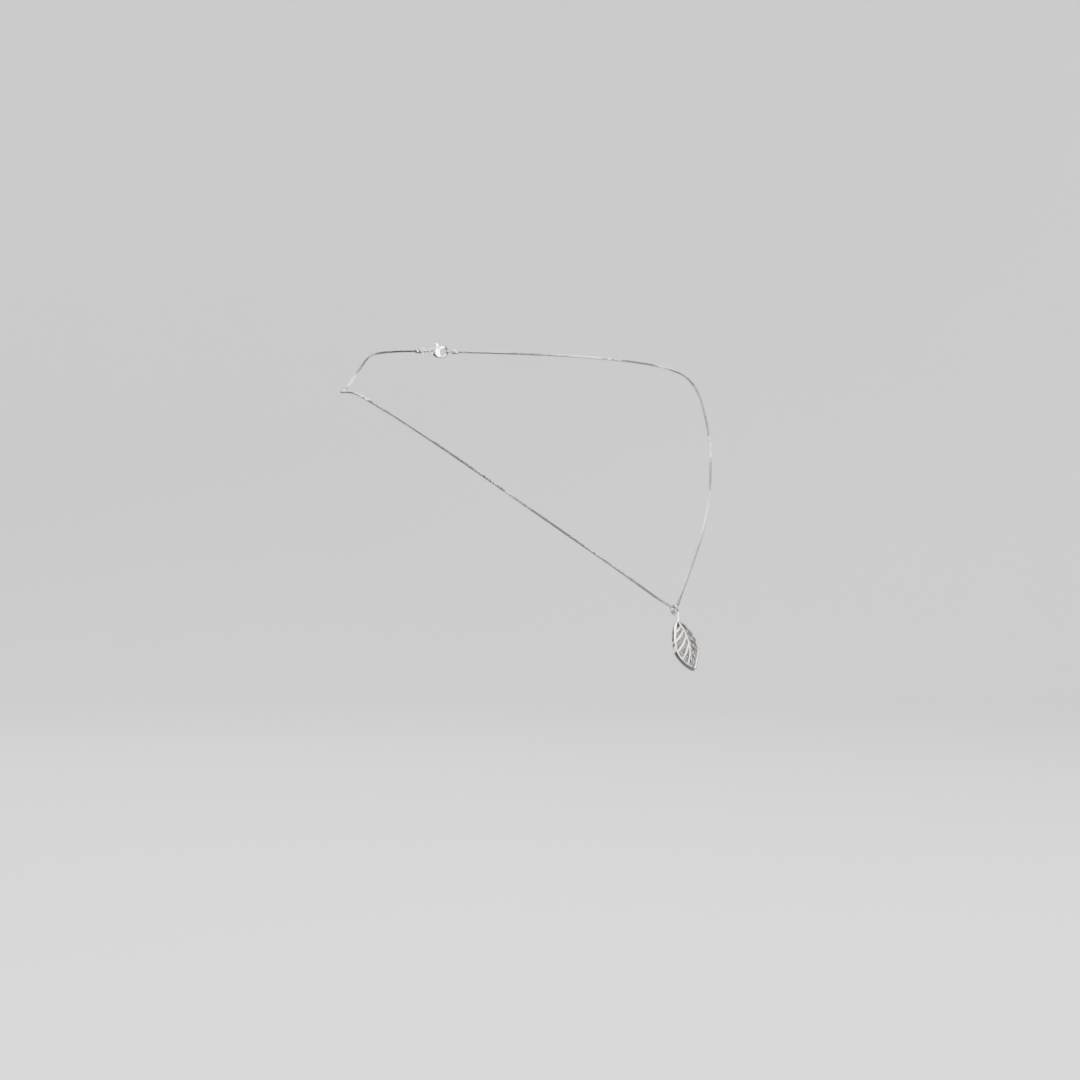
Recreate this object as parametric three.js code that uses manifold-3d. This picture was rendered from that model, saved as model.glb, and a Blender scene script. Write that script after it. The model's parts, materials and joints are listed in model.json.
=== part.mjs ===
// A fine silver necklace: a box chain worn round a neck, a lobster clasp behind the nape
// and a leaf pendant set with small white stones, which hangs from its own curled stem.
//
// Millimetres, +Z up. The wearer faces -Y and their left is +X. The origin is where the
// necklace bears on the nape, in the middle plane, on the line of the chain and clasp.

import * as THREE from 'three';
import { mergeVertices } from 'three/addons/utils/BufferGeometryUtils.js';
import Module from 'manifold-3d';

const wasm = await Module();
wasm.setup();

// ---------------------------------------------------------------- driving dimensions

// Gap between two pieces that bear on each other, soldered or loose.
const GAP = 0.06;

// Box chain: one slim tube stands for the links.
const CHAIN_RADIUS = 0.5;
const CHAIN_SIDES = 8;
const STEPS_PER_POINT = 2;

// Cup soldered over each chain end.
const CAP_LENGTH = 2.2;
const CAP_SIDES = 16;
const CAP_FLOOR = 0.6;
const CAP_WALL = 0.25;
const CAP_PLAY = 0.1;
const CAP_LEAD = 1.4;

// Round-wire rings: radius to the middle of the wire, and the wire's own radius.
const END_RING = 1.05;
const HOOKED_RING = 1.3;
const END_RING_WIRE = 0.25;
const JUMP_RING = 1.5;
const JUMP_RING_WIRE = 0.3;

// Lobster clasp.
const CLASP_LENGTH = 9;
const CLASP_THICKNESS = 2;
const CLASP_BEVEL = 0.3;
const EYE_RING = 0.95;
const EYE_WIRE = 0.3;
const HOOK_WIRE = 0.5;
const TRIGGER_THICKNESS = 0.9;
const TRIGGER_PLAY = 0.07;
const PIN_RADIUS = 0.28;
const PIN_X = 2.5;
const PIN_Z = 1.15;
const SLOT_FROM = 1.35;
const SLOT_LONG = 3.2;
const SLOT_FLOOR = -0.35;
const SLOT_TALL = 3.35;
const GATE_STOPS_SHORT = 1.72;
const SPRING_WIDTH = 0.7;

// Stem: a strip that rises from the leaf, rolls back over the chain and ends in a pointed tongue.
// The rolled part has room round the chain, and its crown rests just over it.
const BAIL_ROOM = 0.5;
const BAIL_REST = 0.2;
const BAIL_WIDTH = 1.7;
const STEM_WIDTH = 0.64;
const STRIP_THICKNESS = 0.45;
// The tongue behind the chain: [forward of the bail's back, below its middle, width].
const TONGUE = [[0.06, 0.5, 1.95], [0.3, 1.05, 2.1], [0.78, 1.65, 1.6], [1.5, 2.3, 0.3]];

// Leaf: tilted forward of plumb, with a raised rim and veins over a closed back. Its stones sit
// in a pierced plate under the veins.
const LEAF_TOP = [0, -1.8, -4.2];
const LEAF_TILT = THREE.MathUtils.degToRad(29.3);
const LEAF_LENGTH = 18.3;
const LEAF_WIDTH = 10.8;
const LEAF_DEPTH = 1.3;
const RIM_WIDTH = 0.6;
const RIM_HEIGHT = 0.45;
const VEIN_WIDTH = 0.44;
const MIDRIB_WIDTH = 0.55;
const VEIN_DROP = 0.06;
const BACK_THICKNESS = 0.35;
const GALLERY_INSET = 0.08;
const GALLERY_WALL = 0.5;
const PLATE_THICKNESS = 0.2;
const CROSS_CROWN = 0.018;
const LENGTH_BOW = 0.45;

// Stones: round brilliants, graded to the cell that each stands in.
const STONE_LARGEST = 1.2;
const STONE_SMALLEST = 0.6;
const STONE_SPACE = 0.1;
const MOST_STONES = 44;
const STONE_SIDES = 8;
const STONE_HEIGHT = -0.35;
// A stone's depth, half girdle, crown height and table, as shares of its diameter.
const PAVILION_DEPTH = 0.43;
const HALF_GIRDLE = 0.02;
const CROWN_HEIGHT = 0.16;
const TABLE_WIDTH = 0.56;
// Seats tried for a stone: steps along a cell's two sides, and shares of the way across it.
const SEAT_STEP = 0.5;
const SEAT_SHARES = [0.1, 0.2, 0.3, 0.4, 0.5, 0.6, 0.7, 0.8, 0.9];
const SEAT_CLEARANCE = 3 * GAP;

const SILVER = new THREE.MeshStandardMaterial({ color: 0xdcdad8, metalness: 1, roughness: 0.18 });
const SPRING_STEEL = new THREE.MeshStandardMaterial({ color: 0xb4b6ba, metalness: 1, roughness: 0.3 });
const WHITE_STONE = new THREE.MeshStandardMaterial({ color: 0xf4f7fb, metalness: 0, roughness: 0.03 });

// ---------------------------------------------------------------- shared makers

const necklace = new THREE.Group();

function addMesh(group, name, geometry, material) {
  const mesh = new THREE.Mesh(geometry, material);
  mesh.name = name;
  group.add(mesh);
  return mesh;
}

function solidOf(geometry) {
  const bare = geometry.clone();
  bare.deleteAttribute('normal');
  bare.deleteAttribute('uv');
  const merged = mergeVertices(bare, 1e-5);
  return new wasm.Manifold(new wasm.Mesh({
    numProp: 3,
    vertProperties: new Float32Array(merged.attributes.position.array),
    triVerts: new Uint32Array(merged.index.array),
  }));
}

function geometryOf(solid) {
  const mesh = solid.getMesh();
  const geometry = new THREE.BufferGeometry();
  geometry.setAttribute('position', new THREE.BufferAttribute(mesh.vertProperties, 3));
  geometry.setIndex(new THREE.BufferAttribute(mesh.triVerts, 1));
  return geometry;
}

// Six times the volume that the triangles enclose, below zero when they face inwards.
function signedVolume(positions, index) {
  const [a, b, c] = [new THREE.Vector3(), new THREE.Vector3(), new THREE.Vector3()];
  let volume = 0;
  for (let i = 0; i < index.length; i += 3) {
    a.fromArray(positions, index[i] * 3);
    b.fromArray(positions, index[i + 1] * 3);
    c.fromArray(positions, index[i + 2] * 3);
    volume += a.dot(b.cross(c));
  }
  return volume;
}

// A closed solid through a row of sections, each a loop of the same number of points.
// A closed row joins up with its first section, and an open one gets a cap at each end.
function loft(sections, closed = false) {
  const count = sections[0].length;
  const rows = sections.length;
  const index = [];
  const spans = closed ? rows : rows - 1;
  for (let row = 0; row < spans; row += 1) {
    const next = (row + 1) % rows;
    for (let side = 0; side < count; side += 1) {
      const after = (side + 1) % count;
      const [a, b] = [row * count + side, row * count + after];
      const [c, d] = [next * count + after, next * count + side];
      index.push(a, b, c, a, c, d);
    }
  }
  if (!closed) {
    const last = (rows - 1) * count;
    for (let side = 1; side < count - 1; side += 1) {
      index.push(0, side + 1, side);
      index.push(last, last + side, last + side + 1);
    }
  }
  const positions = sections.flat(2);
  if (signedVolume(positions, index) < 0) {
    index.reverse();
  }
  const geometry = new THREE.BufferGeometry();
  geometry.setAttribute('position', new THREE.Float32BufferAttribute(positions, 3));
  geometry.setIndex(index);
  return geometry;
}

function roundSection(radius, sides) {
  const outline = [];
  for (let side = 0; side < sides; side += 1) {
    const angle = (side / sides) * 2 * Math.PI;
    outline.push(new THREE.Vector2(radius * Math.cos(angle), radius * Math.sin(angle)));
  }
  return new THREE.Shape(outline);
}

// ---------------------------------------------------------------- places along the clasp line

// The rings and the clasp are drawn taut along X. Each place is counted from the right cap.
const eyeHole = EYE_RING - EYE_WIRE;
const rightRingX = GAP + END_RING + END_RING_WIRE;
const jumpRingX = rightRingX + END_RING - END_RING_WIRE - GAP - JUMP_RING_WIRE + JUMP_RING;
const eyeX = jumpRingX + JUMP_RING - JUMP_RING_WIRE - GAP + eyeHole;
const hookX = eyeX - EYE_RING - EYE_WIRE + CLASP_LENGTH - HOOK_WIRE;
const leftRingX = hookX - HOOK_WIRE - GAP - END_RING_WIRE + HOOKED_RING;
const claspSpan = leftRingX + HOOKED_RING + END_RING_WIRE + GAP;
const capFace = claspSpan / 2;
const chainEnd = capFace + CAP_FLOOR + CAP_PLAY;

// ---------------------------------------------------------------- chain

// The worn route from inside the bail up to the collar bone, the same on both sides.
const FRONT_ROUTE = [
  [0, -136.1, -89.3],
  [0.9, -136.0, -89.12],
  [1.75, -135.5, -88.65],
  [4.2, -133.6, -86.75],
  [8.3, -130.9, -83.3],
  [16.5, -125.5, -76.2],
  [28.0, -117.5, -66.5],
  [40.5, -106.9, -55.1],
  [52.3, -94.6, -43.4],
  [63.4, -81.2, -31.9],
  [72.0, -68.7, -22.7],
];

// From there round the neck to each cap. The chain turns in tighter on the wearer's right, and
// both sides are given here with x away from the middle.
const LEFT_ROUTE = [
  ...FRONT_ROUTE,
  [77.6, -59.5, -16.6],
  [81.0, -52.2, -12.1],
  [82.2, -44.6, -8.2],
  [79.6, -36.0, -5.3],
  [73.0, -27.8, -3.3],
  [58.0, -17.2, -1.5],
  [36.0, -7.0, -0.4],
  [chainEnd + CAP_LEAD, 0, 0],
  [chainEnd, 0, 0],
];
const RIGHT_ROUTE = [
  ...FRONT_ROUTE,
  [77.6, -59.5, -17.1],
  [78.4, -54.5, -16.7],
  [74.9, -48.2, -16.5],
  [65.2, -38.3, -13.6],
  [50.5, -23.2, -7.9],
  [34.0, -8.6, -1.9],
  [chainEnd + CAP_LEAD, 0, 0],
  [chainEnd, 0, 0],
];

// Steps fall evenly between the route's points, so they crowd where the chain bends.
class Route extends THREE.CatmullRomCurve3 {
  getPointAt(u, target) {
    return this.getPoint(u, target);
  }

  getTangentAt(u, target) {
    return this.getTangent(u, target);
  }
}

function buildChain() {
  const left = LEFT_ROUTE.map(([x, y, z]) => new THREE.Vector3(x, y, z));
  const right = RIGHT_ROUTE.slice(1).reverse().map(([x, y, z]) => new THREE.Vector3(-x, y, z));
  const route = new Route([...right, ...left]);
  const steps = (right.length + left.length - 1) * STEPS_PER_POINT;
  const section = roundSection(CHAIN_RADIUS, CHAIN_SIDES);
  const options = { steps, extrudePath: route, bevelEnabled: false };
  addMesh(necklace, 'box_chain', new THREE.ExtrudeGeometry(section, options), SILVER);
}

function buildCap(name, side) {
  const bore = CHAIN_RADIUS + CAP_PLAY;
  const outer = bore + CAP_WALL;
  const profile = [
    [0, 0], [outer, 0], [outer, CAP_LENGTH],
    [bore, CAP_LENGTH], [bore, CAP_FLOOR], [0, CAP_FLOOR],
  ];
  const geometry = new THREE.LatheGeometry(profile.map(([r, y]) => new THREE.Vector2(r, y)), CAP_SIDES);
  const cap = addMesh(necklace, name, geometry, SILVER);
  cap.position.x = side * capFace;
  cap.rotation.z = -side * Math.PI / 2;
}

function buildRing(name, ringRadius, wireRadius, x, upright) {
  const ring = addMesh(necklace, name, new THREE.TorusGeometry(ringRadius, wireRadius, 8, 24), SILVER);
  ring.position.x = x - capFace;
  ring.rotation.x = upright ? Math.PI / 2 : 0;
}

// ---------------------------------------------------------------- lobster clasp

// The clasp is drawn in its own frame: x from the eye to the hook, z towards the trigger.
function plate(points, thickness, bevel = 0, hole = null) {
  const shape = new THREE.Shape(points.map(([x, z]) => new THREE.Vector2(x, z)));
  if (hole) {
    shape.holes.push(new THREE.Path().absarc(hole.x, hole.z, hole.radius, 0, 2 * Math.PI, true));
  }
  const options = {
    depth: thickness - 2 * bevel,
    bevelEnabled: bevel > 0,
    bevelThickness: bevel,
    bevelSize: bevel,
    bevelOffset: -bevel,
    bevelSegments: 2,
    curveSegments: 8,
  };
  const geometry = new THREE.ExtrudeGeometry(shape, options);
  geometry.translate(0, 0, bevel - thickness / 2);
  geometry.rotateX(Math.PI / 2);
  return geometry;
}

function buildClasp() {
  const clasp = new THREE.Group();
  clasp.position.x = eyeX - capFace;
  necklace.add(clasp);

  const eye = new THREE.TorusGeometry(EYE_RING, EYE_WIRE, 8, 24);
  eye.rotateX(Math.PI / 2);

  const shell = plate([
    [0.75, 0.75], [1.3, 1.45], [2.2, 2.0], [3.2, 1.95], [3.65, 1.2], [3.35, 0.3],
    [3.4, -0.7], [4.0, -1.3], [3.7, -2.25], [2.4, -2.2], [1.3, -1.5], [0.75, -0.75],
  ], CLASP_THICKNESS, CLASP_BEVEL);

  const tip = hookX - eyeX;
  const hookPath = new THREE.CatmullRomCurve3([
    [2.9, -1.6], [4.4, -1.95], [tip - 1.35, -1.75], [tip - 0.35, -0.95], [tip, 0],
    [tip - 0.25, 0.95], [tip - 0.9, 1.6], [tip - 1.45, 1.82],
  ].map(([x, z]) => new THREE.Vector3(x, 0, z)));
  const hook = new THREE.ExtrudeGeometry(roundSection(HOOK_WIRE, 10), {
    steps: 22,
    extrudePath: hookPath,
    bevelEnabled: false,
  });

  const slotWidth = TRIGGER_THICKNESS + 2 * TRIGGER_PLAY;
  const slot = new THREE.BoxGeometry(SLOT_LONG, slotWidth, SLOT_TALL);
  slot.translate(SLOT_FROM + SLOT_LONG / 2, 0, SLOT_FLOOR + SLOT_TALL / 2);
  const pinHole = new THREE.CylinderGeometry(PIN_RADIUS + GAP, PIN_RADIUS + GAP, CLASP_THICKNESS + 1, 16);
  pinHole.translate(PIN_X, 0, PIN_Z);

  const body = solidOf(eye).add(solidOf(shell)).add(solidOf(hook))
    .subtract(solidOf(slot)).subtract(solidOf(pinHole));
  addMesh(clasp, 'clasp_body', geometryOf(body), SILVER);

  const gate = tip - GATE_STOPS_SHORT;
  addMesh(clasp, 'clasp_trigger', plate([
    [1.9, 0.55], [2.6, 0.5], [3.3, 0.75], [4.3, 1.2], [gate - 0.1, 1.4], [gate + 0.1, 2.1], [4.3, 1.95],
    [3.4, 1.95], [2.9, 2.3], [2.6, 3.0], [1.9, 3.15], [1.55, 2.8], [1.95, 2.3], [1.9, 1.5],
  ], TRIGGER_THICKNESS, 0, { x: PIN_X, z: PIN_Z, radius: PIN_RADIUS + GAP }), SILVER);

  const pin = new THREE.CylinderGeometry(PIN_RADIUS, PIN_RADIUS, CLASP_THICKNESS, 16);
  pin.translate(PIN_X, 0, PIN_Z);
  addMesh(clasp, 'clasp_pin', pin, SILVER);

  addMesh(clasp, 'clasp_spring', plate([
    [1.6, -0.29], [3.05, -0.29], [3.15, -0.2], [2.2, 0.44], [2.1, 0.36], [2.9, -0.17], [1.6, -0.17],
  ], SPRING_WIDTH), SPRING_STEEL);
}

// ---------------------------------------------------------------- pendant: stem and bail

const pendant = new THREE.Group();
pendant.position.set(...FRONT_ROUTE[0]);
necklace.add(pendant);

// A strip swept in the Y-Z plane: each station is [y, z, width].
function strip(stations, thickness) {
  const sections = stations.map(([y, z, width], i) => {
    const before = stations[Math.max(i - 1, 0)];
    const after = stations[Math.min(i + 1, stations.length - 1)];
    const along = new THREE.Vector2(after[0] - before[0], after[1] - before[1]).normalize();
    const [oy, oz] = [-along.y * thickness / 2, along.x * thickness / 2];
    const half = width / 2;
    return [
      [-half, y - oy, z - oz], [-half, y + oy, z + oz],
      [half, y + oy, z + oz], [half, y - oy, z - oz],
    ];
  });
  return loft(sections);
}

function buildStem() {
  const inner = CHAIN_RADIUS + BAIL_ROOM;
  const radius = inner + STRIP_THICKNESS / 2;
  const centreZ = CHAIN_RADIUS + BAIL_REST - inner;
  const foot = LEAF_TOP[2] + GAP;
  const front = LEAF_TOP[1] + STRIP_THICKNESS / 2;
  const stations = [
    [front, foot, STEM_WIDTH],
    [front, foot + 1.2, STEM_WIDTH],
    [front + 0.02, foot + 2.1, STEM_WIDTH],
    [front + 0.12, foot + 2.8, STEM_WIDTH],
    [-radius - 0.06, centreZ - 0.5, STEM_WIDTH * 1.1],
  ];
  const turns = 14;
  for (let turn = 0; turn <= turns; turn += 1) {
    const angle = Math.PI * (1 - turn / turns);
    const width = THREE.MathUtils.lerp(STEM_WIDTH * 1.15, BAIL_WIDTH, turn / turns);
    stations.push([radius * Math.cos(angle), centreZ + radius * Math.sin(angle), width]);
  }
  stations.push(...TONGUE.map(([forward, below, width]) => [radius - forward, centreZ - below, width]));
  addMesh(pendant, 'stem_bail', strip(stations, STRIP_THICKNESS), SILVER);
}

// ---------------------------------------------------------------- pendant: leaf

const leaf = new THREE.Group();
leaf.position.set(...LEAF_TOP);
leaf.rotation.x = Math.PI / 2 - LEAF_TILT;
pendant.add(leaf);

// The leaf is drawn in shares of its length and of its half width: down from the stem, and
// across to the wearer's left. Each margin is a row of lobes that meet where a vein reaches the
// rim: [down, across, bulge in millimetres].
const LEAF_START = 0.065;
const LEFT_MARGIN = [
  [0.262, -0.704, 0.55], [0.443, -0.926, 0.2], [0.65, -1, 0.3],
  [0.798, -0.796, 0.2], [0.907, -0.519, 0.15], [1, 0, 0.25],
];
const RIGHT_MARGIN = [
  [0.213, 0.694, 0.5], [0.361, 0.87, 0.2], [0.508, 0.917, 0.2],
  [0.667, 0.741, 0.2], [0.831, 0.389, 0.12], [1, 0, 0.1],
];
const MIDRIB = [
  [0.0164, 0], [0.191, 0.139], [0.328, 0.194], [0.519, 0.139], [0.738, -0.028], [0.967, -0.019],
];
const LEFT_VEIN_STARTS = [0.115, 0.202, 0.322, 0.464, 0.623];
const RIGHT_VEIN_STARTS = [0.093, 0.202, 0.322, 0.481, 0.667];
// Shares of a vein's way from the midrib to the rim: where it turns, and how far short it stops.
const VEIN_TURN = [0.56, 0.42];
const VEIN_STOPS_SHORT = 0.06;
// The last cell lies between the last veins and this stretch of the midrib.
const TIP_CELL = [0.836, 0.967];
const PLATE_LEAST_WIDTH = 0.4;
const BACK_COLUMNS = 8;
const PLATE_COLUMNS = 4;
const LOBE_STEPS = 6;
const VEIN_STEPS = 8;
const MIDRIB_STEPS = 26;

// The place at a share of the leaf's length and half width, in millimetres.
function placed([down, across]) {
  return new THREE.Vector2(down * LEAF_LENGTH, across * LEAF_WIDTH / 2);
}

const midrib = new THREE.SplineCurve(MIDRIB.map(placed));

// The leaf is slightly crowned across and bowed along its length. Height 0 is the rim's front.
function onLeaf(down, across, height) {
  const bow = LENGTH_BOW * Math.sin(Math.PI * down / LEAF_LENGTH);
  return [across, -down, height + bow - CROSS_CROWN * across * across];
}

function marginPoints(margin, startAcross) {
  const points = [];
  let start = placed([0, startAcross]);
  for (const [down, across, bulge] of margin) {
    const end = placed([down, across]);
    const chord = end.clone().sub(start);
    const outward = new THREE.Vector2(-chord.y, chord.x).normalize();
    outward.multiplyScalar(Math.sign(startAcross) * 2 * bulge);
    const middle = start.clone().lerp(end, 0.5).add(outward);
    points.push(...new THREE.QuadraticBezierCurve(start, middle, end).getPoints(LOBE_STEPS).slice(0, -1));
    start = end;
  }
  return points;
}

// The whole margin, round from the stem down the left side and back up the right.
const marginLoop = [
  ...marginPoints(LEFT_MARGIN, -LEAF_START),
  placed([1, 0]),
  ...marginPoints(RIGHT_MARGIN, LEAF_START).reverse(),
];

function insetLoop(loop, inset) {
  return loop.map((point, i) => {
    const before = loop[(i + loop.length - 1) % loop.length];
    const after = loop[(i + 1) % loop.length];
    const along = after.clone().sub(before).normalize();
    return new THREE.Vector2(point.x - along.y * inset, point.y + along.x * inset);
  });
}

// A wall that follows the margin, between two insets and two heights.
function rimBand(outerInset, innerInset, low, high) {
  const outer = insetLoop(marginLoop, outerInset);
  const inner = insetLoop(marginLoop, innerInset);
  return loft(outer.map((point, i) => [
    onLeaf(point.x, point.y, low), onLeaf(point.x, point.y, high),
    onLeaf(inner[i].x, inner[i].y, high), onLeaf(inner[i].x, inner[i].y, low),
  ]), true);
}

// A raised strip along a curve drawn on the leaf.
function rib(points, width, low, high) {
  return loft(points.map((point, i) => {
    const before = points[Math.max(i - 1, 0)];
    const after = points[Math.min(i + 1, points.length - 1)];
    const along = new THREE.Vector2(after.x - before.x, after.y - before.y).normalize();
    const [od, oa] = [-along.y * width / 2, along.x * width / 2];
    return [
      onLeaf(point.x - od, point.y - oa, low), onLeaf(point.x + od, point.y + oa, low),
      onLeaf(point.x + od, point.y + oa, high), onLeaf(point.x - od, point.y - oa, high),
    ];
  }));
}

function midribAt(down) {
  const [first, last] = [MIDRIB[0][0], MIDRIB[MIDRIB.length - 1][0]];
  return midrib.getPointAt(THREE.MathUtils.clamp((down - first) / (last - first), 0, 1));
}

// A vein leaves the midrib steeply and turns towards the rim, where two lobes meet.
function veinPoints(startDown, rimEnd) {
  const start = midribAt(startDown);
  const end = placed(rimEnd).lerp(start, VEIN_STOPS_SHORT);
  const [down, across] = VEIN_TURN;
  const turn = new THREE.Vector2(
    THREE.MathUtils.lerp(start.x, end.x, down), THREE.MathUtils.lerp(start.y, end.y, across));
  return new THREE.QuadraticBezierCurve(start, turn, end).getPoints(VEIN_STEPS);
}

const veins = {
  left: LEFT_VEIN_STARTS.map((start, i) => veinPoints(start, LEFT_MARGIN[i])),
  right: RIGHT_VEIN_STARTS.map((start, i) => veinPoints(start, RIGHT_MARGIN[i])),
};

function buildLeafFrame() {
  const top = -VEIN_DROP;
  const low = -RIM_HEIGHT;
  let frame = solidOf(rimBand(0, RIM_WIDTH, low, 0));
  frame = frame.add(solidOf(rib(midrib.getPoints(MIDRIB_STEPS), MIDRIB_WIDTH, low, top)));
  for (const vein of [...veins.left, ...veins.right]) {
    frame = frame.add(solidOf(rib(vein, VEIN_WIDTH, low, top)));
  }
  addMesh(leaf, 'leaf_frame', geometryOf(frame), SILVER);
}

// A plate lofted down the leaf between its two margins, as far as they are apart.
function leafPlate(inset, low, high, columns) {
  const outline = insetLoop(marginLoop, inset);
  const left = outline.slice(0, (outline.length - 1) / 2);
  const sections = [];
  left.forEach((from, i) => {
    const to = outline[outline.length - 1 - i];
    if (to.y - from.y < PLATE_LEAST_WIDTH) return;
    const row = (height) => Array.from({ length: columns + 1 }, (_, k) => {
      const point = from.clone().lerp(to, k / columns);
      return onLeaf(point.x, point.y, height);
    });
    sections.push([...row(low), ...row(high).reverse()]);
  });
  return loft(sections);
}

function buildLeafBack() {
  addMesh(leaf, 'leaf_back', leafPlate(0, -LEAF_DEPTH, BACK_THICKNESS - LEAF_DEPTH, BACK_COLUMNS), SILVER);
}

function buildGallery() {
  const [low, high] = [BACK_THICKNESS - LEAF_DEPTH + GAP, -RIM_HEIGHT - GAP];
  const band = rimBand(GALLERY_INSET, GALLERY_INSET + GALLERY_WALL, low, high);
  addMesh(leaf, 'leaf_gallery', band, SILVER);
}

// ---------------------------------------------------------------- stones

function brilliant(diameter) {
  const profile = [
    [0, -PAVILION_DEPTH], [0.5, -HALF_GIRDLE], [0.5, HALF_GIRDLE],
    [TABLE_WIDTH / 2, CROWN_HEIGHT], [0, CROWN_HEIGHT],
  ];
  const outline = profile.map(([x, y]) => new THREE.Vector2(x * diameter, y * diameter));
  const geometry = new THREE.LatheGeometry(outline, STONE_SIDES);
  geometry.rotateX(Math.PI / 2);
  return geometry;
}

function distanceToPath(point, path) {
  let nearest = Infinity;
  for (let i = 0; i < path.length - 1; i += 1) {
    const along = path[i + 1].clone().sub(path[i]);
    const share = point.clone().sub(path[i]).dot(along) / along.lengthSq();
    const foot = path[i].clone().addScaledVector(along, THREE.MathUtils.clamp(share, 0, 1));
    nearest = Math.min(nearest, foot.distanceTo(point));
  }
  return nearest;
}

// Seats tried for a stone: a fine mesh of places in the cell between two bounding curves.
function seatsBetween(upper, lower) {
  const seats = [];
  for (let i = 0; i < upper.length - 1; i += SEAT_STEP) {
    const whole = Math.floor(i);
    const from = upper[whole].clone().lerp(upper[whole + 1], i - whole);
    const to = lower[whole].clone().lerp(lower[whole + 1], i - whole);
    seats.push(...SEAT_SHARES.map((share) => from.clone().lerp(to, share)));
  }
  return seats;
}

// The first cell on each side of the stem is left open. In the others the roomiest seat is
// filled first, with a stone as large as the walls and the stones around it allow.
function placeStones() {
  const rim = insetLoop(marginLoop, RIM_WIDTH);
  const walls = [
    ...[...veins.left, ...veins.right].map((path) => ({ path, half: VEIN_WIDTH / 2 })),
    { path: midrib.getPoints(MIDRIB_STEPS), half: MIDRIB_WIDTH / 2 },
    { path: [...rim, rim[0]], half: 0 },
  ];
  const tipCurve = Array.from({ length: VEIN_STEPS + 1 }, (_, i) => (
    midribAt(THREE.MathUtils.lerp(...TIP_CELL, i / VEIN_STEPS))
  ));
  const seats = [veins.left, veins.right].flatMap((side) => (
    side.flatMap((vein, i) => seatsBetween(vein, side[i + 1] ?? tipCurve))
  )).map((place) => ({
    place,
    room: Math.min(...walls.map(({ path, half }) => distanceToPath(place, path) - half)) - STONE_SPACE / 2,
  }));
  const stones = [];
  while (stones.length < MOST_STONES) {
    const roomiest = seats.reduce((best, seat) => (seat.room > best.room ? seat : best));
    const radius = Math.min(roomiest.room, STONE_LARGEST / 2);
    if (radius * 2 < STONE_SMALLEST) break;
    stones.push({ place: roomiest.place, radius });
    for (const seat of seats) {
      const toStone = seat.place.distanceTo(roomiest.place) - radius - STONE_SPACE;
      seat.room = Math.min(seat.room, toStone);
    }
  }
  return stones;
}

function buildStones(stones) {
  stones.forEach(({ place, radius }, i) => {
    const number = String(i + 1).padStart(2, '0');
    const stone = addMesh(leaf, `stone_${number}`, brilliant(radius * 2), WHITE_STONE);
    stone.position.set(...onLeaf(place.x, place.y, STONE_HEIGHT));
  });
}

// The plate under the veins, pierced for each stone's lower half and cut away in the first
// cell on each side of the stem.
function buildStonePlate(stones) {
  const top = -RIM_HEIGHT - GAP;
  const inset = GALLERY_INSET + GALLERY_WALL + GAP;
  let plateSolid = solidOf(leafPlate(inset, top - PLATE_THICKNESS, top, PLATE_COLUMNS));
  for (const { place, radius } of stones) {
    const seat = brilliant(radius * 2 + SEAT_CLEARANCE);
    seat.translate(...onLeaf(place.x, place.y, STONE_HEIGHT));
    plateSolid = plateSolid.subtract(solidOf(seat));
  }
  const firstCells = [
    [LEFT_MARGIN, veins.left[0], -LEAF_START],
    [RIGHT_MARGIN, veins.right[0], LEAF_START],
  ];
  for (const [margin, vein, start] of firstCells) {
    const lobe = marginPoints(margin, start).slice(0, LOBE_STEPS + 1);
    const outline = [...lobe, ...vein.slice().reverse()].map((point) => new THREE.Vector2(point.y, -point.x));
    const cell = new THREE.ExtrudeGeometry(new THREE.Shape(outline), {
      depth: LEAF_DEPTH,
      bevelEnabled: false,
    });
    cell.translate(0, 0, -LEAF_DEPTH);
    plateSolid = plateSolid.subtract(solidOf(cell));
  }
  addMesh(leaf, 'stone_plate', geometryOf(plateSolid), SILVER);
}

// ---------------------------------------------------------------- assembly

buildChain();
buildCap('chain_cap_left', 1);
buildCap('chain_cap_right', -1);
buildRing('end_ring_right', END_RING, END_RING_WIRE, rightRingX, true);
buildRing('jump_ring', JUMP_RING, JUMP_RING_WIRE, jumpRingX, false);
buildRing('end_ring_left', HOOKED_RING, END_RING_WIRE, leftRingX, false);
buildClasp();
buildStem();
buildLeafFrame();
buildLeafBack();
buildGallery();
const stones = placeStones();
buildStones(stones);
buildStonePlate(stones);

export default necklace;
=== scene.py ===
# A fine silver pendant necklace in its worn shape: box chain, lobster clasp, and a leaf set with
# small white stones that hangs from its own curled stem. Metres, +Z up; the wearer faces -Y and
# their left is +X. The origin is where the necklace bears on the nape.

import json
import math

import bmesh
import bpy
import numpy as np
from mathutils import Matrix, Vector


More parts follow.
